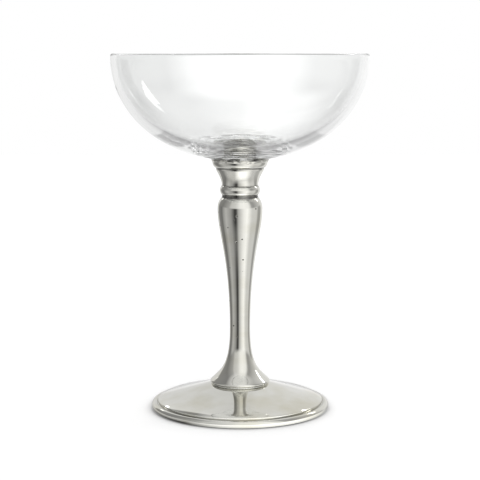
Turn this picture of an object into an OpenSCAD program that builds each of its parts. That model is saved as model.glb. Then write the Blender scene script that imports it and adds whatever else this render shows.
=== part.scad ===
// Coupe glass: a clear crystal bowl bonded into a turned pewter collar,
// carried by a baluster stem on a coned foot.
// Z is the axis, the foot rests on z = 0, and all sizes are in millimetres.

/* [Bowl] */
// Outer radius of the bowl at its rim
bowl_r = 53.8; // [48:0.1:60]
// Height of the bowl from its lowest outer point to the rim
bowl_h = 44.5; // [38:0.1:52]
// Squareness of the bowl's curve, where 2 is a true ellipse
bowl_power = 2.1; // [1.8:0.05:2.6]
// Thickness of the glass at the rim
rim_wall = 1.8; // [1.2:0.1:3]
// Thickness of the glass at the bottom of the bowl
base_wall = 3.6; // [2.5:0.1:6]
// Radius of the glass peg under the bowl
peg_r = 6; // [4:0.1:6.6]
// Length of the glass peg
peg_h = 8; // [5:0.1:9]

/* [Seams] */
// Thickness of the clear bond between the glass and the collar
bond_t = 0.3; // [0.15:0.05:0.5]
// Thickness of each solder seam
solder_t = 0.3; // [0.1:0.05:0.6]
// How far each solder seam stands out of its joint
solder_proud = 0.15; // [0.05:0.05:0.3]
// Radial room round each tenon
tenon_fit = 0.1; // [0.05:0.05:0.3]

/* [Collar] */
// Height of the collar from its seam on the stem to its mouth
collar_h = 15.5; // [14.5:0.1:20]
// Largest radius of the rolled rim round the mouth
collar_r = 11.65; // [11:0.05:14]
// Section radius of the rolled rim
roll_r = 2.5; // [2.4:0.05:3.6]
// Height of the mouth above the widest line of the rolled rim
roll_rise = 1.2; // [0.6:0.1:1.8]
// Depth of the rolled rim below its widest line
roll_fall = 2.3; // [1.5:0.1:2.4]
// Height of the plain band under the rolled rim
band_h = 0.8; // [0.3:0.1:1.5]
// Radius of the collar at the foot of its hollow curve
throat_r = 7.7; // [7.2:0.05:8.4]
// Height of the straight throat above the ring
throat_h = 0.3; // [0.2:0.1:1]
// Largest radius of the ring above the seam
ring_r = 8.45; // [8.2:0.05:9.5]
// Section radius of the ring
ring_round = 2.8; // [2.4:0.1:4]
// Height of the ring
ring_h = 3.8; // [2.6:0.1:4]
// Height of the groove between the ring and the seam
groove_h = 0.7; // [0.3:0.1:1.5]
// Radius of the collar and the stem where they meet
seam_r = 7.6; // [7:0.05:7.7]
// Radius of the tenon under the collar
collar_tenon_r = 4.5; // [3:0.1:5.5]
// Length of the tenon under the collar
collar_tenon_h = 7; // [4:0.1:12]
// Room left under the collar's tenon
tenon_room = 0.4; // [0.2:0.1:1]

/* [Stem] */
// Length of the stem between its two seams
stem_h = 79.7; // [60:0.1:110]
// Height of the short neck at the top of the stem
neck_h = 0.3; // [0.2:0.1:1]
// Width of the step from the neck out to the shoulder
neck_step = 0.25; // [0.1:0.05:0.6]
// Largest radius of the shoulder
shoulder_r = 9.5; // [8.4:0.1:12]
// Depth of the widest line of the shoulder below the top of the stem
shoulder_drop = 5.2; // [3.5:0.1:9]
// Smallest radius of the stem
waist_r = 4.36; // [4:0.02:6]
// Height of the smallest radius above the bottom of the stem
waist_h = 23.5; // [16:0.5:35]
// Largest radius of the flared end on the foot
flare_r = 12.65; // [10:0.05:16]
// Section radius of the rounded lip of the flared end
lip_round = 0.85; // [0.5:0.05:1.5]
// Radius of the tenon that goes through the foot
foot_tenon_r = 4.2; // [2.5:0.1:6]

/* [Foot] */
// Outer radius of the foot
foot_r = 37.85; // [32:0.05:45]
// Height of the seat under the stem
foot_h = 10.2; // [8:0.1:16]
// Thickness of the metal at the seat
boss_t = 4; // [3:0.1:5.5]
// Width of the seat that shows round the stem's contact ring
seat_margin = 0.5; // [0.3:0.05:0.8]
// Thickness of the coned plate
plate_t = 2; // [1.4:0.1:2.4]
// Height of the plate beside the edge groove
plate_edge_h = 3.6; // [3:0.1:4.2]
// Slope of the plate beside the edge groove, in degrees
plate_fall = 27; // [22:0.5:35]
// Section radius of the plate where its cone rounds over to the edge groove
plate_round = 16; // [8:0.5:20]
// Height of the floor of the groove inside the rolled edge
edge_groove_h = 2.35; // [1.9:0.05:2.6]
// Width of the floor of the groove inside the rolled edge
edge_groove_w = 0.3; // [0.2:0.05:0.8]
// Section radius of the rolled edge
edge_roll = 1.45; // [1.3:0.05:1.8]
// Width of the flat that the foot rests on
rest_w = 1.1; // [0.6:0.1:1.6]

/* [Hidden] */
$fn = 128;

pewter = "#b8b6ab";
solder = "#d2d0c8";
crystal = [0.86, 0.93, 0.95, 0.4];
bond = [0.93, 0.93, 0.88, 0.6];

// Lean of the collar's hollow where it meets the plain band, in degrees
hollow_lean = 27;
// How far the handles of the curves reach, as a share of each curve's height
hollow_pull = 0.35;
shoulder_pull = 0.45;
taper_pull_top = 0.2;
taper_pull_low = 0.6;
flare_pull_top = 0.75;
flare_pull_low = 0.25;
// Angle at which the flare runs into its lip
flare_angle = 45;

// Heights of the joints, from the table up
stem_z = foot_h + solder_t;
stem_top = stem_z + stem_h;
collar_z = stem_top + solder_t;
mouth_z = collar_z + collar_h;

// Collar's mouth and band, where the rolled rim is cut off above and below
mouth_r = collar_r - roll_r + sqrt(pow(roll_r, 2) - pow(roll_rise, 2));
band_r = collar_r - roll_r + sqrt(pow(roll_r, 2) - pow(roll_fall, 2));
socket_r = peg_r + bond_t;

// The bowl's curve runs from its lowest point up to the middle of the rounded rim
lip_r = rim_wall / 2;
curve_h = bowl_h - lip_r;
bowl_z = mouth_z + bond_t - bowl_rise(mouth_r);
rim_z = bowl_z + bowl_h;
peg_top = bowl_z + bowl_rise(peg_r);
peg_end = peg_top - peg_h;
seat_slope = (bowl_rise(mouth_r) - bowl_rise(peg_r)) / (mouth_r - peg_r);

// Rolled edge of the foot
edge_centre = [foot_r - edge_roll, sqrt(pow(edge_roll, 2) - pow(rest_w / 2, 2))];
edge_start = 180 - asin((edge_groove_h - edge_centre.y) / edge_roll);
edge_rest = asin(edge_centre.y / edge_roll);

// Cone of the foot: a tangent from the seat to the arc that rounds it over
contact_r = flare_r - lip_round;
foot_seat_r = contact_r + seat_margin;
plate_end_r = edge_centre.x + edge_roll * cos(edge_start) - edge_groove_w;
plate_centre = [plate_end_r, plate_edge_h] - plate_round * [sin(plate_fall), cos(plate_fall)];
plate_arm = [foot_seat_r, foot_h] - plate_centre;
plate_start = atan2(plate_arm.y, plate_arm.x) - acos(plate_round / norm(plate_arm));
under_round = plate_round - plate_t;
foot_hole_r = foot_tenon_r + tenon_fit;
foot_under = foot_h - boss_t;

// Height of the bowl's outer curve above its lowest point
function bowl_rise(r) = curve_h * (1 - pow(1 - pow(r / bowl_r, bowl_power), 1 / bowl_power));

// Height of the glass seat above the collar, a cone from the peg out to the mouth
function seat_at(r) = peg_top + seat_slope * (r - peg_r);

// Points along a round arc from one angle to another
function arc(centre, radius, from, to, steps = 12) =
  [for (i = [0 : steps]) let (a = from + (to - from) * i / steps)
    centre + radius * [cos(a), sin(a)]];

// Points along a cubic curve, given its ends and its two handles
function curve(a, b, c, d, steps = 24) =
  [for (i = [0 : steps]) let (t = i / steps, s = 1 - t)
    pow(s, 3) * a + 3 * s * s * t * b + 3 * s * t * t * c + pow(t, 3) * d];

// Points along a bowl curve of the given radius and height, hung from the middle of the rim
function bowl_curve(radius, height, from, to, steps = 40) =
  [for (i = [0 : steps]) let (a = from + (to - from) * i / steps)
    [radius * pow(sin(a), 2 / bowl_power), rim_z - lip_r - height * pow(cos(a), 2 / bowl_power)]];

// A list without its first point, for a stretch that starts where the last one ended
function tail(points) = [for (i = [1 : len(points) - 1]) points[i]];

function bowl_outline() =
  let (seat_angle = asin(pow(mouth_r / bowl_r, bowl_power / 2)))
  concat(
    [[0, peg_end], [peg_r, peg_end], [peg_r, peg_top]],
    bowl_curve(bowl_r, curve_h, seat_angle, 90),
    tail(arc([bowl_r - lip_r, rim_z - lip_r], lip_r, 0, 180)),
    tail(bowl_curve(bowl_r - rim_wall, curve_h - base_wall, 90, 0))
  );

function bond_outline() = [
  [0, peg_end - bond_t],
  [socket_r, peg_end - bond_t],
  [socket_r, seat_at(socket_r) - bond_t],
  [mouth_r, mouth_z],
  [mouth_r, mouth_z + bond_t],
  [peg_r, peg_top],
  [peg_r, peg_end],
  [0, peg_end]
];

function collar_outline() =
  let (
    ring_z = collar_z + groove_h + ring_h / 2,
    ring_turn = asin(ring_h / 2 / ring_round),
    throat_z = collar_z + groove_h + ring_h + throat_h,
    roll_z = mouth_z - roll_rise,
    band_z = roll_z - roll_fall - band_h,
    hollow_reach = hollow_pull * (band_z - throat_z)
  )
  concat(
    [
      [0, collar_z - collar_tenon_h],
      [collar_tenon_r, collar_z - collar_tenon_h],
      [collar_tenon_r, collar_z],
      [seam_r, collar_z],
      [seam_r, collar_z + groove_h]
    ],
    arc([ring_r - ring_round, ring_z], ring_round, -ring_turn, ring_turn),
    [[throat_r, throat_z - throat_h]],
    curve(
      [throat_r, throat_z],
      [throat_r, throat_z + hollow_reach],
      [band_r, band_z] - hollow_reach * [sin(hollow_lean), cos(hollow_lean)],
      [band_r, band_z]
    ),
    arc([collar_r - roll_r, roll_z], roll_r, -asin(roll_fall / roll_r), asin(roll_rise / roll_r)),
    [
      [socket_r, seat_at(socket_r) - bond_t],
      [socket_r, peg_end - bond_t],
      [0, peg_end - bond_t]
    ]
  );

function stem_outline() =
  let (
    lip_centre = [contact_r, stem_z + lip_round],
    lip_end = lip_centre + lip_round * [cos(flare_angle), sin(flare_angle)],
    waist = [waist_r, stem_z + waist_h],
    shoulder = [shoulder_r, stem_top - shoulder_drop],
    neck = [seam_r + neck_step, stem_top - neck_h],
    flare_rise = waist.y - lip_end.y,
    taper_rise = shoulder.y - waist.y,
    shoulder_reach = shoulder_pull * (neck.y - shoulder.y),
    bore_r = collar_tenon_r + tenon_fit,
    bore_end = collar_z - collar_tenon_h - tenon_room
  )
  concat(
    [[0, foot_under], [foot_tenon_r, foot_under], [foot_tenon_r, stem_z]],
    arc(lip_centre, lip_round, -90, flare_angle),
    tail(curve(
      lip_end,
      lip_end + flare_pull_low * flare_rise * [-sin(flare_angle), cos(flare_angle)],
      waist - [0, flare_pull_top * flare_rise],
      waist
    )),
    tail(curve(
      waist,
      waist + [0, taper_pull_low * taper_rise],
      shoulder - [0, taper_pull_top * taper_rise],
      shoulder
    )),
    tail(curve(
      shoulder,
      shoulder + [0, shoulder_reach],
      neck + [min(shoulder_reach / 2, shoulder_r - neck.x), -shoulder_reach / 2],
      neck
    )),
    [
      [seam_r, stem_top - neck_h],
      [seam_r, stem_top],
      [bore_r, stem_top],
      [bore_r, bore_end],
      [0, bore_end]
    ]
  );

function foot_outline() =
  let (
    under_start = plate_centre + under_round * [cos(plate_start), sin(plate_start)],
    boss_side = under_start.y + (under_start.x - foot_seat_r) / tan(plate_start)
  )
  concat(
    [[foot_hole_r, foot_h], [foot_seat_r, foot_h]],
    arc(plate_centre, plate_round, plate_start, 90 - plate_fall),
    [[plate_end_r, edge_groove_h]],
    arc(edge_centre, edge_roll, edge_start, -edge_rest, 24),
    arc(edge_centre, edge_roll, edge_rest - 180, -180, 8),
    arc(plate_centre, under_round, 90 - plate_fall, plate_start),
    [[foot_seat_r, boss_side], [foot_seat_r, foot_under], [foot_hole_r, foot_under]]
  );

// A flat ring of solder lying on the given height
module solder_ring(inner_r, outer_r, z)
  rotate_extrude() translate([inner_r, z]) square([outer_r - inner_r, solder_t]);

module crystal_bowl()
  color(crystal) rotate_extrude() polygon(bowl_outline());

module peg_bond()
  color(bond) rotate_extrude() polygon(bond_outline());

module collar()
  color(pewter) rotate_extrude() polygon(collar_outline());

module collar_solder()
  color(solder) solder_ring(collar_tenon_r + tenon_fit, seam_r + solder_proud, stem_top);

module stem()
  color(pewter) rotate_extrude() polygon(stem_outline());

module foot_solder()
  color(solder) solder_ring(foot_hole_r, contact_r + solder_proud, foot_h);

module foot()
  color(pewter) rotate_extrude() polygon(foot_outline());

crystal_bowl();
peg_bond();
collar();
collar_solder();
stem();
foot_solder();
foot();
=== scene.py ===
"""Looks of the coupe glass: a clear crystal bowl on a polished pewter collar, stem and foot.

Every solid of the frame is a body of revolution. Its section is read back from the frame, its curves are
smoothed, its edges softened, and it is turned again on a finer lathe, so each piece sits where its solid is.
Lengths are in metres, and +Y points away from the camera.
"""
import math

import bpy
import mathutils
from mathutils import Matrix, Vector


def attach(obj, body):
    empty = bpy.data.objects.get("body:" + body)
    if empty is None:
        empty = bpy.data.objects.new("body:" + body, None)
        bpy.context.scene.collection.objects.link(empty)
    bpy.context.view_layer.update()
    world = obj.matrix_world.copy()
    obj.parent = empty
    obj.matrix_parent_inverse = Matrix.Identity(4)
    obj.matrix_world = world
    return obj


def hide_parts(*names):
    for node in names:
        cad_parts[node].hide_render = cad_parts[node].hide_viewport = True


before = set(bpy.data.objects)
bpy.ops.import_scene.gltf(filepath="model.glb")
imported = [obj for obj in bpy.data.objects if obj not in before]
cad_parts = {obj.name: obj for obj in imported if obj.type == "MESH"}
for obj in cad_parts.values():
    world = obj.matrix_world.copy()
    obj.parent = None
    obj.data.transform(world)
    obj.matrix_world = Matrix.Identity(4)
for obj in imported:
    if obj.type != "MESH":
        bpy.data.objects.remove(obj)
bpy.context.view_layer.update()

MM = 0.001

# Reading a section: points closer than this are one, and a smaller turn is part of a straight stretch
SAME_POINT = 0.002 * MM
STRAIGHT = math.radians(0.2)

# A corner turns by more than SHARP, or by more than BEND and much more than the points beside it do
SHARP = math.radians(30)
BEND = math.radians(6)
BEND_RATIO = 2.5

# Steps along a smoothed curve, and the radius within which a piece can have finer ones
STEP_TURN = math.radians(2)
STEP_LENGTH = 1.2 * MM
FINE_RADIUS = 23 * MM
BOWL_STEP = 0.4 * MM

# Fillets: size for each kind of piece, steps, largest share of a side, and guard points beside them
BOWL_FILLET = 0.1 * MM
BOND_FILLET = 0.02 * MM
PEWTER_FILLET = 0.15 * MM
SOLDER_FILLET = 0.08 * MM
FILLET_STEPS = 6
FILLET_SHARE = 0.4
FILLET_GUARD = 0.05 * MM

# Steps round the lathe
SEGMENTS = 192
BOWL_SEGMENTS = 256
LIP_SEGMENTS = 384

# Range that noise mostly keeps to
NOISE_RANGE = (0.3, 0.7)

# Sockets by which a Mix node takes and gives colours
MIX_COLOURS = (6, 7)
MIX_RESULT = 2

# Metals: clean colour, clouded colour, roughness, and strength of the beige patches
PEWTER = ((0.70, 0.693, 0.648), (0.52, 0.515, 0.465), 0.03, 0.55)
SOLDER = ((0.74, 0.74, 0.71), (0.58, 0.57, 0.53), 0.15, 0.55)
PLATE = ((0.71, 0.706, 0.664), (0.53, 0.525, 0.48), 0.03, 0.8)
BEIGE = (0.58, 0.56, 0.47)
# Dark colour of tarnish, and of the painted shade in the socket, along the lip's crown and in the creases
TARNISH_AND_SHADE_COLOUR = (0.06, 0.057, 0.053)

# Patterns in the metal, each as features per metre and detail
CLOUD = (90, 4.0)
CLOUD_MIX = 0.25
CLOUD_ROUGH = 0.05
PATCHES = (55, 3.0)
PATCHES_STRETCH = (1.0, 1.0, 2.0)
PATCHES_EDGE = (0.45, 0.7)
LINES = (5000, 3.0)
LINES_STRETCH = (0.02, 0.02, 1.0)
LINES_DEEP = 0.0008 * MM
DENTS = (420, 1.0)
DENTS_DEEP = 0.004 * MM
UNEVEN = (110, 1.0)
UNEVEN_DEEP = 0.03 * MM

# Tarnish in the grooves: reach of the search for open sky, strength, and share of sky at which it clears
TARNISH_REACH = 2.0 * MM
TARNISH_SAMPLES = 8
TARNISH = 0.7
TARNISH_CLEARS = (0.2, 0.55)

# Painted shade in the creases: height of the crease, half its width, and how dark it is
CREASES = ((90.65 * MM, 1.0 * MM, 0.85), (95.0 * MM, 0.5 * MM, 0.5), (102.5 * MM, 0.5 * MM, 0.6))
CREASE_CORE = 0.6
SHADE_BREAKS = (260, 2.0)
SHADE_LEAST = 0.65

# Painted shade in the socket of the collar under the glass: its bottom and radius, the face round it, and how
# dark they are
SOCKET_HEIGHT = 96.5 * MM
SOCKET_RADIUS = 6.8 * MM
SOCKET_FACE = 105.3 * MM
SOCKET_SHADE_DARK = 0.95

# Casting pits of the stem: cells per metre, share of the cells with a pit, edge of a pit, and heights
PIT_COLOUR = (0.09, 0.09, 0.08)
PIT_CELLS = 330.0
PIT_SHARE = 0.6
PIT_EDGE = (0.08, 0.15)
PIT_DEEP = -0.06 * MM
PITS_ABOVE = (24 * MM, 34 * MM)
PITS_BELOW = 89 * MM

# Fall of the foot's plate: where it starts and how fast it steepens, per metre
PLATE_FROM = 11.6 * MM
PLATE_FALL = -3.8

# Burnished lip of the collar: section, unevenness round it, and the painted shade along its crown, where it meets
# the glass
LIP_RADIUS = 11.2 * MM
LIP_HEIGHT = 105.8 * MM
LIP_OUT = 0.85 * MM
LIP_UP = 1.0 * MM
LIP_POINTS = 20
LIP_WAVES = 5.0
LIP_SIZE = 0.9
LIP_SIZE_SWING = 0.6
LIP_SHIFT = 0.6 * MM
LIP_SHIFT_FROM = Vector((0, 0, 5))
LIP_SHADE = (105.5 * MM, 105.9 * MM)
LIP_SHADE_BREAKS = (150, 2.0)
LIP_SHADE_LEAST = 0.2
LIP_SHADE_EDGE = (0.42, 0.55)

# Crystal: its tint, and the waviness of blown glass
CLEAR = (0.965, 0.97, 0.967)
CRYSTAL_IOR = 1.52
WAVE = (45, 1.0)
WAVE_STRETCH = (1.0, 1.0, 1.6)
WAVE_DEEP = 0.02 * MM

# Painted dark reflections in rings under the base of the bowl: a ring's radius, spacing, how far they wander, and
# where they end
PAINTED_RING_COLOUR = (0.01, 0.01, 0.01)
PAINTED_RINGS_FIRST = 14.8 * MM
PAINTED_RINGS_APART = 3.4 * MM
PAINTED_RINGS_WANDER = 0.7 * MM
PAINTED_RINGS_WANDERS = (80, 2.0)
PAINTED_RINGS_EDGE = (0.0, 0.5)
PAINTED_RINGS_DENSE = 0.6
PAINTED_RINGS_BREAKS = (130, 2.0)
PAINTED_RINGS_BREAKS_EDGE = (0.36, 0.48)
PAINTED_RINGS_FADE = (17 * MM, 21 * MM)
FULL_GLOSS = 0.5

# Bottom of the bowl that is bonded into the collar, and the bond, in which light goes on straight
BONDED_RADIUS = 11.4 * MM
BONDED_HEIGHT = 107 * MM
BONDED_TINT = (0.97, 0.98, 0.975)
BOND_TINT = (0.93, 0.93, 0.88)
BOND_IOR = 1.0
BOND_CLOUD = (300, 3.0)
BOND_CLOUDED = 0.9

# Tooling rings in the base of the bowl: depth and spacing, how far they wander, strength, and where they fade
RINGS_DEEP = 0.2 * MM
RINGS_APART = 3.0 * MM
RINGS_WANDER = 1.6 * MM
RINGS_WANDER_SIZE = 6 * MM
RINGS_STRENGTH = 0.7
RINGS_STRENGTH_SWING = 0.8
RINGS_STRENGTH_SIZE = 4 * MM
RINGS_INSIDE_FROM = 7
RINGS_FADE = (13 * MM, 21 * MM)

# Room round the table at eye level, and above and below it, as levels at azimuths from the camera's side:
# 0 is towards the camera, 90 to its right
ROOM = (
    (-180, 1.0), (-174, 0.95), (-166, 0.76), (-142, 0.8), (-137, 0.32), (-106, 0.22), (-98, 0.4), (-78, 0.64),
    (-48, 0.42), (-36, 0.2), (-26, 0.05), (-18, 0.12), (-8, 0.6), (8, 0.95), (20, 1.2), (38, 1.4), (54, 1.1),
    (66, 0.88), (96, 0.84), (108, 0.45), (129, 0.5), (134, 1.0), (180, 1.0),
)
OUTER_ROOM = (
    (-180, 0.78), (-168, 0.82), (-142, 0.95), (-137, 0.35), (-100, 0.28), (-60, 0.5), (-48, 0.75), (-24, 0.85),
    (-12, 1.0), (0, 1.2), (20, 1.3), (45, 1.2), (55, 0.9), (63, 0.5), (75, 0.42), (84, 0.5), (110, 0.7),
    (134, 0.95), (168, 0.93), (180, 0.78),
)
ROOM_PEAK = 2.0

# Share of the room at eye level, and where the ceiling and the table take over, by sine of elevation
EYE_LEVEL = ((-1.0, 0.0), (-0.36, 1.0), (0.03, 1.0), (0.12, 0.0))
CEILING = 1.0
CEILING_UP = (0.85, 0.99)
TABLE = 0.8
TABLE_DOWN = (-0.6, -0.85)

# Table behind the glass, which its lower edges mirror
SHADE = 0.65
SHADE_BEHIND = (math.radians(148), math.radians(154))
SHADE_DOWN = (-0.3, -0.37)

# Table where it is mirrored twice, in the collar and then in the underside of the bowl
TWICE = 0.1
TWICE_DEPTH = 1.5
TWICE_DOWN = (-0.4, -0.5)

# Backdrop seen through the crystal: levels by angle from straight behind the glass, with two dark flags that
# end just above the horizon, where the plain sweep starts
BACKDROP = (
    (-180, 0.9), (-47, 0.9), (-44, 0.45), (-21.5, 0.45), (-20.5, 0.92), (-3.9, 0.92), (-2.3, 1.2), (2.4, 1.2),
    (4.0, 1.0), (20.5, 0.98), (21.5, 0.3), (44, 0.3), (47, 0.9), (180, 0.9),
)
BACKDROP_PEAK = 1.2
SWEEP = 0.92
FLAGS_END = (0.03, 0.01)

# Pool of light on the sweep, by the same angle, and where it starts, by sine of elevation
POOL = (
    (-180, 0.93), (-2.8, 0.95), (-1.6, 0.99), (-0.8, 1.03), (0.3, 1.05), (0.9, 1.2), (4.0, 1.2), (5.5, 1.08),
    (9.0, 0.97), (180, 0.97),
)
POOL_DOWN = (-0.09, -0.12)

# Factors on the backdrop by sine of elevation, and where the room takes over from it
SWEEP_DOWN = (
    (-1.0, 0.95), (-0.75, 0.9), (-0.6, 0.5), (-0.5, 0.4), (-0.36, 0.85), (-0.24, 0.93), (-0.13, 1.0), (1.0, 1.0),
)
ROOM_ABOVE = (0.3, 0.5)

# Soft boxes: azimuth and elevation from the bowl in degrees, width and height in metres, roll in degrees,
# distance in metres, radiance
BOWL_HEIGHT = 0.13
SOFT_BOXES = {
    "right_box": (129, 29, 0.13, 0.46, -40, 1.2, 4.0),
    "left_box": (-143, 23, 0.16, 0.12, 0, 1.2, 1.8),
}

# Floor: half its side, its colour, and the glow that makes it white to the camera
FLOOR_HALF = 1.5
FLOOR_COLOUR = 0.95
FLOOR_WHITE = 0.3

# Painted contact shadow of the foot on the floor: reach, level at its darkest, share of open sky, and weight from
# sides to front
CONTACT_REACH = 40 * MM
CONTACT_SAMPLES = 16
CONTACT_DARK = 0.15
CONTACT_OPEN = (0.5, 1.0)
CONTACT_SIDES = 0.35
CONTACT_FRONT = (0.0, 0.8)

# Floor as the metal mirrors it: how far out it shows, and the glow painted on it on the side of the window
FLOOR_SHOWS = (0.06, 0.11)
FLOOR_GLOW = 1.2
GLOW_SIDE = math.radians(22)
GLOW_SPREAD = (0.5, 0.97)

# Camera, solved from the rim line and the foot's ellipse; the photograph is 480 pixels square
PHOTO_SIZE = 480
FOCAL_PIXELS = 1408.3
SENSOR = 36
CAMERA_DISTANCE = 0.5905
CAMERA_HEIGHT = 0.150
CAMERA_PITCH = 7.5437

# Light that runs along inside the wall of the bowl needs this many bounces
WALL_BOUNCES = 200


def read_section(node):
    """Points (radius, height) of a turned solid's section, in order, and whether they close on themselves."""
    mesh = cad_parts[node].data
    points, place = [], {}
    for vertex in mesh.vertices:
        x, y, z = vertex.co
        if abs(y) > SAME_POINT or x < -SAME_POINT:
            continue
        here = Vector((max(x, 0.0), z))
        match = [k for k, p in enumerate(points) if (p - here).length < SAME_POINT]
        if not match:
            points.append(here)
        place[vertex.index] = match[0] if match else len(points) - 1
    links = {k: set() for k in range(len(points))}
    for edge in mesh.edges:
        a, b = (place.get(v) for v in edge.vertices)
        if a is not None and b is not None and a != b:
            links[a].add(b)
            links[b].add(a)
    ends = [k for k in links if len(links[k]) == 1]
    order = [min(ends or links, key=lambda k: points[k].y)]
    while True:
        onward = [k for k in sorted(links[order[-1]]) if k not in order]
        if not onward:
            break
        order.append(onward[0])
    section = [points[k] for k in order]
    closed = not ends
    if not closed:
        section = on_axis(section[0]) + section + on_axis(section[-1])
    return section, closed


def on_axis(point):
    """The axis point that closes a flat end, or nothing where the section already ends on the axis."""
    return [Vector((0.0, point.y))] if point.x > SAME_POINT else []


def turn(before, here, after):
    """Angle through which a section turns at a point."""
    a, b = here - before, after - here
    return abs(math.atan2(a.x * b.y - a.y * b.x, a.dot(b)))


def turns(points, closed):
    """Angle at every point; the ends of an open section have none."""
    count = len(points)
    inner = [turn(points[k - 1], points[k], points[(k + 1) % count]) for k in range(count)]
    return inner if closed else [0.0] + inner[1:-1] + [0.0]


def drop_straight(points, closed):
    """The section without the points that lie along a straight stretch."""
    angles = turns(points, closed)
    last = len(points) - 1
    return [p for k, p in enumerate(points) if angles[k] > STRAIGHT or (not closed and k in (0, last))]


def find_corners(points, closed):
    """Places where the section turns sharply, or much more than at the points beside it."""
    angles = turns(points, closed)
    count = len(points)
    corners = []
    for k, angle in enumerate(angles):
        beside = min(angles[k - 1], angles[(k + 1) % count])
        if angle > SHARP or angle > BEND and angle > BEND_RATIO * beside:
            corners.append(k)
    return corners


def smooth_run(run, fine):
    """A smooth curve through the points of a stretch that has no corners, in fine steps near the axis."""
    if len(run) == 2:
        return list(run)
    guide = [2 * run[0] - run[1]] + run + [2 * run[-1] - run[-2]]
    curve = [run[0]]
    for p0, p1, p2, p3 in zip(guide, guide[1:], guide[2:], guide[3:]):
        bend = max(turn(p0, p1, p2), turn(p1, p2, p3))
        step = fine if p1.x < FINE_RADIUS else STEP_LENGTH
        steps = max(1, math.ceil(bend / STEP_TURN), math.ceil((p2 - p1).length / step))
        k0, k1, k2 = ((b - a).length ** 0.5 for a, b in ((p0, p1), (p1, p2), (p2, p3)))
        out = ((p1 - p0) / k0 - (p2 - p0) / (k0 + k1) + (p2 - p1) / k1) * k1
        back = ((p2 - p1) / k1 - (p3 - p1) / (k1 + k2) + (p3 - p2) / k2) * k1
        for i in range(1, steps + 1):
            t = i / steps
            curve.append(
                (2 * t**3 - 3 * t**2 + 1) * p1
                + (t**3 - 2 * t**2 + t) * out
                + (3 * t**2 - 2 * t**3) * p2
                + (t**3 - t**2) * back
            )
    return curve


def soften(points, closed, fillet, fine):
    """The section with its curves smoothed and a small fillet on every corner."""
    points = drop_straight(points, closed)
    corners = find_corners(points, closed)
    if closed:
        points = points[corners[0]:] + points[:corners[0]]
        corners = [k - corners[0] for k in corners]
        points.append(points[0])
    stops = sorted({0, len(points) - 1} | set(corners))
    runs = [smooth_run(points[a:b + 1], fine) for a, b in zip(stops, stops[1:])]
    pairs = list(zip(runs, runs[1:] + (runs[:1] if closed else [])))
    edges = [round_corner(before, after, fillet) for before, after in pairs]
    section = []
    for k, run in enumerate(runs):
        first = 0 if k == 0 and not closed else 1
        last = len(run) if k == len(runs) - 1 and not closed else len(run) - 1
        section += run[first:last]
        if k < len(edges):
            section += edges[k]
    return section


def round_corner(before, after, fillet):
    """Points that take a corner round from the end of one run to the start of the next."""
    corner = after[0]
    back, onward = before[-2] - corner, after[1] - corner
    reach = min(fillet, FILLET_SHARE * back.length, FILLET_SHARE * onward.length)
    guard = min(FILLET_GUARD, FILLET_SHARE * reach)
    start, end = corner + back.normalized() * reach, corner + onward.normalized() * reach
    arc = []
    for i in range(FILLET_STEPS + 1):
        t = i / FILLET_STEPS
        arc.append((1 - t) ** 2 * start + 2 * t * (1 - t) * corner + t**2 * end)
    return [start + back.normalized() * guard] + arc + [end + onward.normalized() * guard]


def lathe(name, section, closed, segments):
    """A mesh turned from a section, with one vertex where the section meets the axis."""
    rings, vertices = [], []
    for radius, height in section:
        count = segments if radius > SAME_POINT else 1
        rings.append([len(vertices) + k for k in range(count)])
        for k in range(count):
            angle = 2 * math.pi * k / segments
            vertices.append((radius * math.cos(angle), radius * math.sin(angle), height))
    faces = []
    for low, high in zip(rings, rings[1:] + (rings[:1] if closed else [])):
        for k in range(segments):
            quad = [low[k % len(low)], low[(k + 1) % len(low)], high[(k + 1) % len(high)], high[k % len(high)]]
            faces.append(list(dict.fromkeys(quad)))
    mesh = bpy.data.meshes.new(name)
    mesh.from_pydata(vertices, [], [f for f in faces if len(f) > 2])
    mesh.update()
    if signed_volume(mesh) < 0:
        mesh.flip_normals()
    mesh.shade_smooth()
    piece = bpy.data.objects.new(name, mesh)
    bpy.context.scene.collection.objects.link(piece)
    return piece


def signed_volume(mesh):
    """Volume inside a closed mesh, negative where its faces look inwards."""
    total = 0.0
    for face in mesh.polygons:
        corners = [mesh.vertices[v].co for v in face.vertices]
        for b, c in zip(corners[1:], corners[2:]):
            total += corners[0].dot(b.cross(c)) / 6
    return total


def turned_piece(name, node, material, fillet, segments=SEGMENTS, fine=STEP_LENGTH):
    """A piece that stands for a turned solid of the frame."""
    section, closed = read_section(node)
    piece = lathe(name, soften(section, closed, fillet, fine), closed, segments)
    piece.data.materials.append(material)
    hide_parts(node)
    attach(piece, "root")
    return piece


def new_material(name):
    """A material with its node tree, its main shader, and the coordinates of the piece that wears it."""
    material = bpy.data.materials.new(name)
    material.use_nodes = True
    tree = material.node_tree
    place = add_node(tree, "ShaderNodeTexCoord").outputs["Object"]
    return material, tree, tree.nodes["Principled BSDF"], place


def add_node(tree, kind, **values):
    """A shader node with some of its inputs or settings given."""
    node = tree.nodes.new(kind)
    for key, value in values.items():
        if hasattr(node, key):
            setattr(node, key, value)
        else:
            node.inputs[key.replace("_", " ")].default_value = value
    return node


def feed(tree, socket, value):
    """Gives a socket a fixed value, or the output of another node."""
    if isinstance(value, bpy.types.NodeSocket):
        tree.links.new(value, socket)
    else:
        socket.default_value = value


def math_node(tree, operation, *values):
    """A sum, product or function of values; each is a number or the output of another node."""
    node = add_node(tree, "ShaderNodeMath", operation=operation)
    for socket, value in zip(node.inputs, values):
        feed(tree, socket, value)
    return node.outputs[0]


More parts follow.
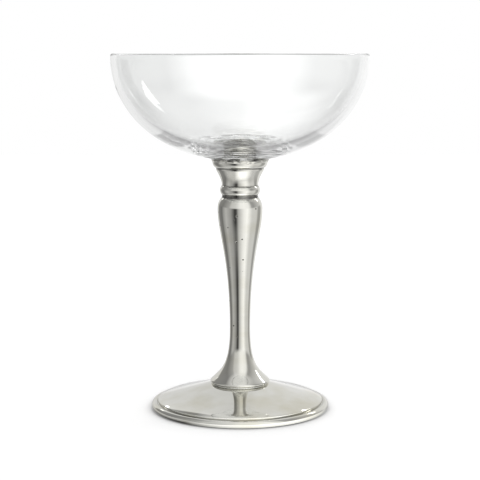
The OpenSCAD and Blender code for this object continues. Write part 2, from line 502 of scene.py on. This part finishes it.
def vector_node(tree, operation, *values):
    """A function of vectors; each is a fixed vector or the output of another node."""
    node = add_node(tree, "ShaderNodeVectorMath", operation=operation)
    for socket, value in zip(node.inputs, values):
        feed(tree, socket, value)
    return node.outputs["Value" if operation in ("LENGTH", "DOT_PRODUCT") else "Vector"]


def split(tree, vector):
    """The three parts of a vector."""
    node = add_node(tree, "ShaderNodeSeparateXYZ")
    tree.links.new(vector, node.inputs[0])
    return [node.outputs[axis] for axis in "XYZ"]


def noise(tree, coordinates, scale, detail):
    """Noise at a scale given in features per metre."""
    node = add_node(tree, "ShaderNodeTexNoise", Scale=scale, Detail=detail)
    tree.links.new(coordinates, node.inputs["Vector"])
    return node.outputs["Fac"]


def stretched(tree, coordinates, scale):
    """Coordinates stretched by a factor on each axis."""
    node = add_node(tree, "ShaderNodeMapping", Scale=scale)
    tree.links.new(coordinates, node.inputs["Vector"])
    return node.outputs["Vector"]


def spread(tree, value, low, high, between=NOISE_RANGE):
    """A value carried from one range to another and held at its ends."""
    start, end = between
    node = add_node(tree, "ShaderNodeMapRange", To_Min=low, To_Max=high, From_Min=start, From_Max=end)
    tree.links.new(value, node.inputs["Value"])
    return node.outputs["Result"]


def blend_colours(tree, factor, first, second):
    """A mix of two colours; each is a fixed colour or the output of another node."""
    node = add_node(tree, "ShaderNodeMix", data_type="RGBA")
    tree.links.new(factor, node.inputs["Factor"])
    for socket, colour in zip(MIX_COLOURS, (first, second)):
        feed(tree, node.inputs[socket], (*colour, 1.0) if isinstance(colour, tuple) else colour)
    return node.outputs[MIX_RESULT]


def grey(level):
    """A colour without hue."""
    return (level, level, level)


def ramp_of(tree, value, marks, peak):
    """A run of grey levels through the given marks, each a place from 0 to 1 and a level; the first is at 0."""
    node = add_node(tree, "ShaderNodeValToRGB")
    tree.links.new(value, node.inputs[0])
    elements = node.color_ramp.elements
    elements.remove(elements[1])
    for k, (place, level) in enumerate(marks):
        element = elements[0] if k == 0 else elements.new(place)
        element.color = (*grey(level / peak), 1.0)
    scaled = add_node(tree, "ShaderNodeVectorMath", operation="SCALE", Scale=peak)
    tree.links.new(node.outputs["Color"], scaled.inputs[0])
    return scaled.outputs[0]


def round_ramp(tree, angle, marks, peak):
    """Grey levels round the glass; the angle is in radians and the marks are in degrees."""
    around = spread(tree, angle, 0.0, 1.0, (-math.pi, math.pi))
    return ramp_of(tree, around, [((degrees + 180) / 360, level) for degrees, level in marks], peak)


def height_ramp(tree, up, marks):
    """Factors by sine of elevation."""
    height = spread(tree, up, 0.0, 1.0, (-1.0, 1.0))
    return ramp_of(tree, height, [((sine + 1) / 2, level) for sine, level in marks], 1.0)


def bump(tree, shader, layers):
    """Bumps laid one over the other; each layer is a height and its depth in metres."""
    below = None
    for height, depth in layers:
        node = add_node(tree, "ShaderNodeBump", Strength=1.0, Distance=depth)
        tree.links.new(height, node.inputs["Height"])
        if below:
            tree.links.new(below, node.inputs["Normal"])
        below = node.outputs["Normal"]
    tree.links.new(below, shader.inputs["Normal"])


def axis_radius(tree, place):
    """Distance from the glass's axis."""
    return vector_node(tree, "LENGTH", vector_node(tree, "MULTIPLY", place, (1.0, 1.0, 0.0)))


def pewter_material(name, clean, stain, shine, worn, plate=False):
    """Polished pewter: turned lines, an uneven surface, tarnish in the grooves, and painted shade in the socket,
    along the lip's crown and in the creases.

    A spun plate also falls off outwards.
    """
    material, tree, shader, place = new_material(name)
    shader.inputs["Metallic"].default_value = 1.0
    hollow = add_node(
        tree, "ShaderNodeAmbientOcclusion", Distance=TARNISH_REACH, samples=TARNISH_SAMPLES, only_local=True
    )
    tarnish = spread(tree, hollow.outputs["AO"], TARNISH, 0.0, TARNISH_CLEARS)
    cloud = noise(tree, place, *CLOUD)
    patches = noise(tree, stretched(tree, place, PATCHES_STRETCH), *PATCHES)
    pits = casting_pits(tree, place)
    colour = blend_colours(tree, spread(tree, cloud, 0.0, CLOUD_MIX), clean, stain)
    colour = blend_colours(tree, spread(tree, patches, 0.0, worn, PATCHES_EDGE), colour, BEIGE)
    # Tarnish in the grooves, and painted shade in the socket, along the lip's crown and in the creases
    colour = blend_colours(tree, math_node(tree, "MAXIMUM", tarnish, painted_shade_lines(tree, place)), colour, TARNISH_AND_SHADE_COLOUR)
    tree.links.new(blend_colours(tree, pits, colour, PIT_COLOUR), shader.inputs["Base Color"])
    tree.links.new(spread(tree, cloud, shine, shine + CLOUD_ROUGH), shader.inputs["Roughness"])
    layers = [
        (noise(tree, stretched(tree, place, LINES_STRETCH), *LINES), LINES_DEEP),
        (noise(tree, place, *DENTS), DENTS_DEEP),
        (noise(tree, place, *UNEVEN), UNEVEN_DEEP),
        (pits, PIT_DEEP),
    ]
    if plate:
        out = math_node(tree, "SUBTRACT", axis_radius(tree, place), PLATE_FROM)
        out = math_node(tree, "MAXIMUM", out, 0.0)
        layers.append((math_node(tree, "MULTIPLY", math_node(tree, "MULTIPLY", out, out), PLATE_FALL), 1.0))
    bump(tree, shader, layers)
    return material


def painted_shade_lines(tree, place):
    """Mask of painted shade in the socket, along the crown of the lip and in the creases, a little broken up."""
    height = split(tree, place)[2]
    radius = axis_radius(tree, place)
    # Painted shade in the socket under the glass and on the face round it
    inside = math_node(tree, "LESS_THAN", radius, SOCKET_RADIUS)
    lines = math_node(tree, "MULTIPLY", inside, math_node(tree, "GREATER_THAN", height, SOCKET_HEIGHT))
    face = math_node(tree, "LESS_THAN", radius, LIP_RADIUS - LIP_OUT)
    face = math_node(tree, "MULTIPLY", face, math_node(tree, "GREATER_THAN", height, SOCKET_FACE))
    lines = math_node(tree, "MAXIMUM", lines, math_node(tree, "MULTIPLY", face, SOCKET_SHADE_DARK))
    # Painted shade along the lip's crown, where it meets the glass
    crown = spread(tree, height, 0.0, SOCKET_SHADE_DARK, LIP_SHADE)
    broken = spread(tree, noise(tree, place, *LIP_SHADE_BREAKS), LIP_SHADE_LEAST, 1.0, LIP_SHADE_EDGE)
    lines = math_node(tree, "MAXIMUM", lines, math_node(tree, "MULTIPLY", crown, broken))
    # Painted shade in the creases
    for middle, reach, dark in CREASES:
        away = math_node(tree, "ABSOLUTE", math_node(tree, "SUBTRACT", height, middle))
        lines = math_node(tree, "MAXIMUM", lines, spread(tree, away, dark, 0.0, (CREASE_CORE * reach, reach)))
    return math_node(tree, "MULTIPLY", lines, spread(tree, noise(tree, place, *SHADE_BREAKS), SHADE_LEAST, 1.0))


def casting_pits(tree, place):
    """Mask of a few small pits, one in some of the cells of a coarse pattern."""
    cells = add_node(tree, "ShaderNodeTexVoronoi", Scale=PIT_CELLS)
    tree.links.new(place, cells.inputs["Vector"])
    dot = spread(tree, cells.outputs["Distance"], 1.0, 0.0, PIT_EDGE)
    chance = add_node(tree, "ShaderNodeSeparateColor")
    tree.links.new(cells.outputs["Color"], chance.inputs[0])
    chosen = math_node(tree, "LESS_THAN", chance.outputs[0], PIT_SHARE)
    height = split(tree, place)[2]
    on_stem = spread(tree, height, 0.0, 1.0, PITS_ABOVE)
    on_stem = math_node(tree, "MULTIPLY", on_stem, math_node(tree, "LESS_THAN", height, PITS_BELOW))
    return math_node(tree, "MULTIPLY", math_node(tree, "MULTIPLY", dot, chosen), on_stem)


def crystal_material(name, tooled):
    """Clear crystal with the faint waviness of blown glass, and with painted dark rings, standing in for
    reflections, where it is tooled.
    """
    material, tree, shader, place = new_material(name)
    shader.inputs["Roughness"].default_value = 0.0
    shader.inputs["IOR"].default_value = CRYSTAL_IOR
    bump(tree, shader, ((noise(tree, stretched(tree, place, WAVE_STRETCH), *WAVE), WAVE_DEEP),))
    if tooled:
        # Dark rings painted under the base stand in for reflections of dark things
        lines = painted_dark_rings(tree, place)
        tree.links.new(blend_colours(tree, lines, CLEAR, PAINTED_RING_COLOUR), shader.inputs["Base Color"])
        tree.links.new(math_node(tree, "SUBTRACT", 1.0, lines), shader.inputs["Transmission Weight"])
        tree.links.new(spread(tree, lines, FULL_GLOSS, 0.0, (0.0, 1.0)), shader.inputs["Specular IOR Level"])
    else:
        shader.inputs["Base Color"].default_value = (*CLEAR, 1.0)
        shader.inputs["Transmission Weight"].default_value = 1.0
    return material


def painted_dark_rings(tree, place):
    """Mask of the painted dark reflections: wandering rings in patches, fading out from the collar."""
    radius = axis_radius(tree, place)
    wander = spread(tree, noise(tree, place, *PAINTED_RINGS_WANDERS), -PAINTED_RINGS_WANDER, PAINTED_RINGS_WANDER)
    per_metre = 2 * math.pi / PAINTED_RINGS_APART
    phase = math_node(tree, "MULTIPLY", math_node(tree, "ADD", radius, wander), per_metre)
    phase = math_node(tree, "SUBTRACT", phase, PAINTED_RINGS_FIRST * per_metre)
    lines = spread(tree, math_node(tree, "COSINE", phase), 0.0, PAINTED_RINGS_DENSE, PAINTED_RINGS_EDGE)
    patches = spread(tree, noise(tree, place, *PAINTED_RINGS_BREAKS), 0.0, 1.0, PAINTED_RINGS_BREAKS_EDGE)
    lines = math_node(tree, "MULTIPLY", lines, patches)
    return math_node(tree, "MULTIPLY", lines, spread(tree, radius, 1.0, 0.0, PAINTED_RINGS_FADE))


def bonded_material(name, tint):
    """Faces in contact with the bond, where light goes on straight; the bond itself is a little cloudy."""
    material, tree, shader, place = new_material(name)
    shader.inputs["IOR"].default_value = BOND_IOR
    shader.inputs["Roughness"].default_value = 0.0
    shader.inputs["Transmission Weight"].default_value = 1.0
    clouded = tuple(BOND_CLOUDED * c for c in tint)
    cloud = noise(tree, place, *BOND_CLOUD)
    tree.links.new(blend_colours(tree, cloud, tint, clouded), shader.inputs["Base Color"])
    return material


def is_bonded(point):
    """Whether a point of the bowl is in contact with the bond."""
    return math.hypot(point.x, point.y) < BONDED_RADIUS and point.z < BONDED_HEIGHT


def face_looks(bowl, bonded, tooled):
    """The bonded bottom of the bowl and the tooled ring round it take looks of their own."""
    bowl.data.materials.append(bonded)
    bowl.data.materials.append(tooled)
    for face in bowl.data.polygons:
        if is_bonded(face.center):
            face.material_index = 1
        elif math.hypot(face.center.x, face.center.y) < PAINTED_RINGS_FADE[1] and face.normal.z < 0:
            face.material_index = 2


def tool_rings(bowl):
    """Uneven rings left by the tool round the base of the bowl, inside and out."""
    mesh = bowl.data
    normals = [vertex.normal.copy() for vertex in mesh.vertices]
    fade_from, fade_to = RINGS_FADE
    for vertex, normal in zip(mesh.vertices, normals):
        radius = math.hypot(vertex.co.x, vertex.co.y)
        if is_bonded(vertex.co) or radius > fade_to:
            continue
        side = Vector((0, 0, RINGS_INSIDE_FROM if normal.z > 0 else 0))
        flat = Vector((vertex.co.x, vertex.co.y, 0))
        wander = RINGS_WANDER * mathutils.noise.noise(flat / RINGS_WANDER_SIZE + side)
        swing = mathutils.noise.noise(flat / RINGS_STRENGTH_SIZE - side)
        strength = RINGS_STRENGTH + RINGS_STRENGTH_SWING * swing
        fade = min(1.0, (fade_to - radius) / (fade_to - fade_from))
        wave = math.sin(2 * math.pi * (radius + wander) / RINGS_APART)
        vertex.co += normal * RINGS_DEEP * strength * fade * wave
    mesh.update()


def burnished_lip(material):
    """Uneven edge of the collar, worked up against the glass by hand."""
    section = []
    for k in range(LIP_POINTS):
        angle = 2 * math.pi * k / LIP_POINTS
        section.append((LIP_RADIUS + LIP_OUT * math.cos(angle), LIP_HEIGHT + LIP_UP * math.sin(angle)))
    lip = lathe("burnished_lip", section, True, LIP_SEGMENTS)
    for vertex in lip.data.vertices:
        outwards = Vector((vertex.co.x, vertex.co.y, 0)).normalized()
        core = outwards * LIP_RADIUS + Vector((0, 0, LIP_HEIGHT))
        size = LIP_SIZE + LIP_SIZE_SWING * mathutils.noise.noise(outwards * LIP_WAVES)
        shift = LIP_SHIFT * mathutils.noise.noise(outwards * LIP_WAVES + LIP_SHIFT_FROM)
        vertex.co = core + size * (vertex.co - core) + Vector((0, 0, shift))
    lip.data.materials.append(material)
    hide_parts("collar")
    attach(lip, "root")


def build_glass():
    """All the pieces of the coupe, from the bowl down to the foot."""
    pewter = pewter_material("polished_pewter", *PEWTER)
    solder = pewter_material("tin_solder", *SOLDER)
    plate = pewter_material("spun_pewter", *PLATE, plate=True)
    crystal = crystal_material("clear_crystal", False)
    tooled = crystal_material("tooled_crystal", True)
    bonded = bonded_material("bonded_crystal", BONDED_TINT)
    bond = bonded_material("clear_bond", BOND_TINT)
    bowl = turned_piece("bowl", "crystal_bowl", crystal, BOWL_FILLET, BOWL_SEGMENTS, BOWL_STEP)
    tool_rings(bowl)
    face_looks(bowl, bonded, tooled)
    turned_piece("bond", "peg_bond", bond, BOND_FILLET)
    turned_piece("turned_collar", "collar", pewter, PEWTER_FILLET)
    burnished_lip(pewter)
    turned_piece("collar_seam", "collar_solder", solder, SOLDER_FILLET)
    turned_piece("baluster_stem", "stem", pewter, PEWTER_FILLET)
    turned_piece("foot_seam", "foot_solder", solder, SOLDER_FILLET)
    turned_piece("coned_foot", "foot", plate, PEWTER_FILLET)


def room_colour(tree, right, back, up):
    """The studio room, as the metal and the outside of the glass mirror it."""
    azimuth = math_node(tree, "ARCTAN2", right, math_node(tree, "MULTIPLY", back, -1.0))
    room = round_ramp(tree, azimuth, ROOM, ROOM_PEAK)
    outer = round_ramp(tree, azimuth, OUTER_ROOM, ROOM_PEAK)
    room = blend_colours(tree, height_ramp(tree, up, EYE_LEVEL), outer, room)
    room = blend_colours(tree, spread(tree, up, 0.0, 1.0, CEILING_UP), room, grey(CEILING))
    room = blend_colours(tree, spread(tree, up, 0.0, 1.0, TABLE_DOWN), room, grey(TABLE))
    behind = spread(tree, math_node(tree, "ABSOLUTE", azimuth), 0.0, 1.0, SHADE_BEHIND)
    shade = math_node(tree, "MULTIPLY", behind, spread(tree, up, 0.0, 1.0, SHADE_DOWN))
    return blend_colours(tree, shade, room, grey(SHADE))


def backdrop_colour(tree, right, back, up):
    """The backdrop, as it is seen through the crystal."""
    aside = math_node(tree, "ARCTAN2", right, back)
    backdrop = round_ramp(tree, aside, BACKDROP, BACKDROP_PEAK)
    backdrop = vector_node(tree, "MAXIMUM", backdrop, spread(tree, up, 0.0, SWEEP, FLAGS_END))
    pool = round_ramp(tree, aside, POOL, BACKDROP_PEAK)
    backdrop = blend_colours(tree, spread(tree, up, 0.0, 1.0, POOL_DOWN), backdrop, pool)
    return vector_node(tree, "MULTIPLY", backdrop, height_ramp(tree, up, SWEEP_DOWN))


def build_room():
    """World: white to the camera, a backdrop through the crystal, and a studio room to everything else."""
    world = bpy.data.worlds.new("studio")
    bpy.context.scene.world = world
    world.use_nodes = True
    tree = world.node_tree
    right, back, up = split(tree, add_node(tree, "ShaderNodeTexCoord").outputs["Generated"])
    path = add_node(tree, "ShaderNodeLightPath")
    through = spread(tree, up, 1.0, 0.0, ROOM_ABOVE)
    through = math_node(tree, "MULTIPLY", path.outputs["Is Transmission Ray"], through)
    backdrop = backdrop_colour(tree, right, back, up)
    colour = blend_colours(tree, through, room_colour(tree, right, back, up), backdrop)
    twice = math_node(tree, "GREATER_THAN", path.outputs["Glossy Depth"], TWICE_DEPTH)
    twice = math_node(tree, "MULTIPLY", twice, spread(tree, up, 0.0, 1.0, TWICE_DOWN))
    colour = blend_colours(tree, twice, colour, grey(TWICE))
    colour = blend_colours(tree, path.outputs["Is Camera Ray"], colour, grey(1.0))
    tree.links.new(colour, tree.nodes["Background"].inputs["Color"])


def build_lamps():
    """Soft boxes that show as the streaks in the bowl."""
    for name, (azimuth, elevation, width, height, roll, distance, radiance) in SOFT_BOXES.items():
        lamp = bpy.data.lights.new(name, "AREA")
        lamp.shape = "ELLIPSE"
        lamp.size, lamp.size_y = width, height
        lamp.energy = radiance * math.pi * width * height
        box = bpy.data.objects.new(name, lamp)
        bpy.context.scene.collection.objects.link(box)
        around, up = math.radians(azimuth), math.radians(elevation)
        flat = math.cos(up)
        aim = Vector((flat * math.sin(around), -flat * math.cos(around), math.sin(up)))
        box.location = Vector((0, 0, BOWL_HEIGHT)) + distance * aim
        rolled = mathutils.Quaternion((0, 0, 1), math.radians(roll))
        box.rotation_euler = (aim.to_track_quat("Z", "Y") @ rolled).to_euler()


def floor_material():
    """Pale floor, white to the camera apart from the painted shadow of the foot.

    The metal mirrors it only close to the foot, where a glow painted on it, seen only in the metal, is brighter
    on the side of the window.
    """
    material, tree, shader, place = new_material("pale_floor")
    shader.inputs["Roughness"].default_value = 1.0
    shader.inputs["Specular IOR Level"].default_value = 0.0
    shader.inputs["Emission Color"].default_value = (*grey(1.0), 1.0)
    path = add_node(tree, "ShaderNodeLightPath")
    mirrored, seen = path.outputs["Is Glossy Ray"], path.outputs["Is Camera Ray"]
    far = spread(tree, vector_node(tree, "LENGTH", place), 0.0, 1.0, FLOOR_SHOWS)
    gone = math_node(tree, "MULTIPLY", mirrored, far)
    tree.links.new(math_node(tree, "SUBTRACT", 1.0, gone), shader.inputs["Alpha"])

    side = vector_node(tree, "NORMALIZE", place)
    front = vector_node(tree, "DOT_PRODUCT", side, (0.0, -1.0, 0.0))
    weight = spread(tree, front, CONTACT_SIDES, 1.0, CONTACT_FRONT)
    # Painted shadow of the foot, darker towards the front
    near = add_node(tree, "ShaderNodeAmbientOcclusion", Distance=CONTACT_REACH, samples=CONTACT_SAMPLES)
    dark = spread(tree, near.outputs["AO"], 1.0 - CONTACT_DARK, 0.0, CONTACT_OPEN)
    shade = math_node(tree, "SUBTRACT", 1.0, math_node(tree, "MULTIPLY", dark, weight))
    tree.links.new(blend_colours(tree, shade, grey(0.0), grey(FLOOR_COLOUR)), shader.inputs["Base Color"])

    # Painted glow, seen only in the metal, brighter on the side of the window
    window = (math.sin(GLOW_SIDE), -math.cos(GLOW_SIDE), 0.0)
    glow = spread(tree, vector_node(tree, "DOT_PRODUCT", side, window), 0.0, FLOOR_GLOW, GLOW_SPREAD)
    glow = math_node(tree, "MULTIPLY", mirrored, glow)
    white = math_node(tree, "MULTIPLY", seen, math_node(tree, "MULTIPLY", shade, FLOOR_WHITE))
    tree.links.new(math_node(tree, "MAXIMUM", glow, white), shader.inputs["Emission Strength"])
    return material


def build_floor():
    """Floor under the glass, which the crystal doesn't show."""
    mesh = bpy.data.meshes.new("floor")
    half = FLOOR_HALF
    mesh.from_pydata([(-half, -half, 0), (half, -half, 0), (half, half, 0), (-half, half, 0)], [], [(0, 1, 2, 3)])
    mesh.materials.append(floor_material())
    floor = bpy.data.objects.new("floor", mesh)
    bpy.context.scene.collection.objects.link(floor)
    floor.visible_transmission = False


def build_camera():
    """Camera at the photograph's viewpoint."""
    camera = bpy.data.objects.new("camera", bpy.data.cameras.new("camera"))
    bpy.context.scene.collection.objects.link(camera)
    camera.data.sensor_width = SENSOR
    camera.data.lens = SENSOR * FOCAL_PIXELS / PHOTO_SIZE
    camera.location = (0.0, -CAMERA_DISTANCE, CAMERA_HEIGHT)
    camera.rotation_euler = (math.radians(90 - CAMERA_PITCH), 0.0, 0.0)
    bpy.context.scene.camera = camera
    bpy.context.scene.view_settings.view_transform = "Standard"


def allow_bounces():
    """Enough bounces for light that runs along inside the wall of the bowl."""
    cycles = bpy.context.scene.cycles
    cycles.max_bounces = WALL_BOUNCES
    cycles.glossy_bounces = WALL_BOUNCES
    cycles.transmission_bounces = WALL_BOUNCES


allow_bounces()
build_glass()
build_room()
build_lamps()
build_floor()
build_camera()
